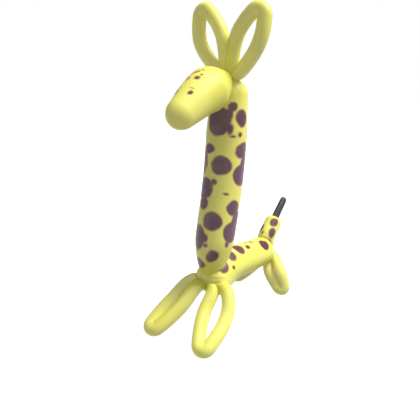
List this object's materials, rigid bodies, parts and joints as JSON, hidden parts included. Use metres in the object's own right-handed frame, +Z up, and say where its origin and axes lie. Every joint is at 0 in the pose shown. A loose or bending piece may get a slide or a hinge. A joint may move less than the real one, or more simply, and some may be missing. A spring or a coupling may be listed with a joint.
{
  "type": "balloon giraffe",
  "caption": "Balloon animal shaped as a standing giraffe: a spotted balloon twisted into head, neck, body and tail, with looped plain balloons for ears and legs.",
  "frame": {"origin": "on the floor under the middle of the whole giraffe", "axes": "+Z up, -Y the way the giraffe faces, +X its left side"},
  "size_m": [0.1278, 0.3323, 0.4747],
  "materials": {
    "printed_latex": "glossy see-through yellow latex printed with dark brown blotches, dark at the uninflated end",
    "plain_latex": "glossy see-through yellow latex"
  },
  "bodies": {
    "root": {"spotted_balloon": "printed_latex", "ears_balloon": "plain_latex", "front_legs_balloon": "plain_latex", "hind_legs_balloon": "plain_latex"}
  },
  "joints": []
}
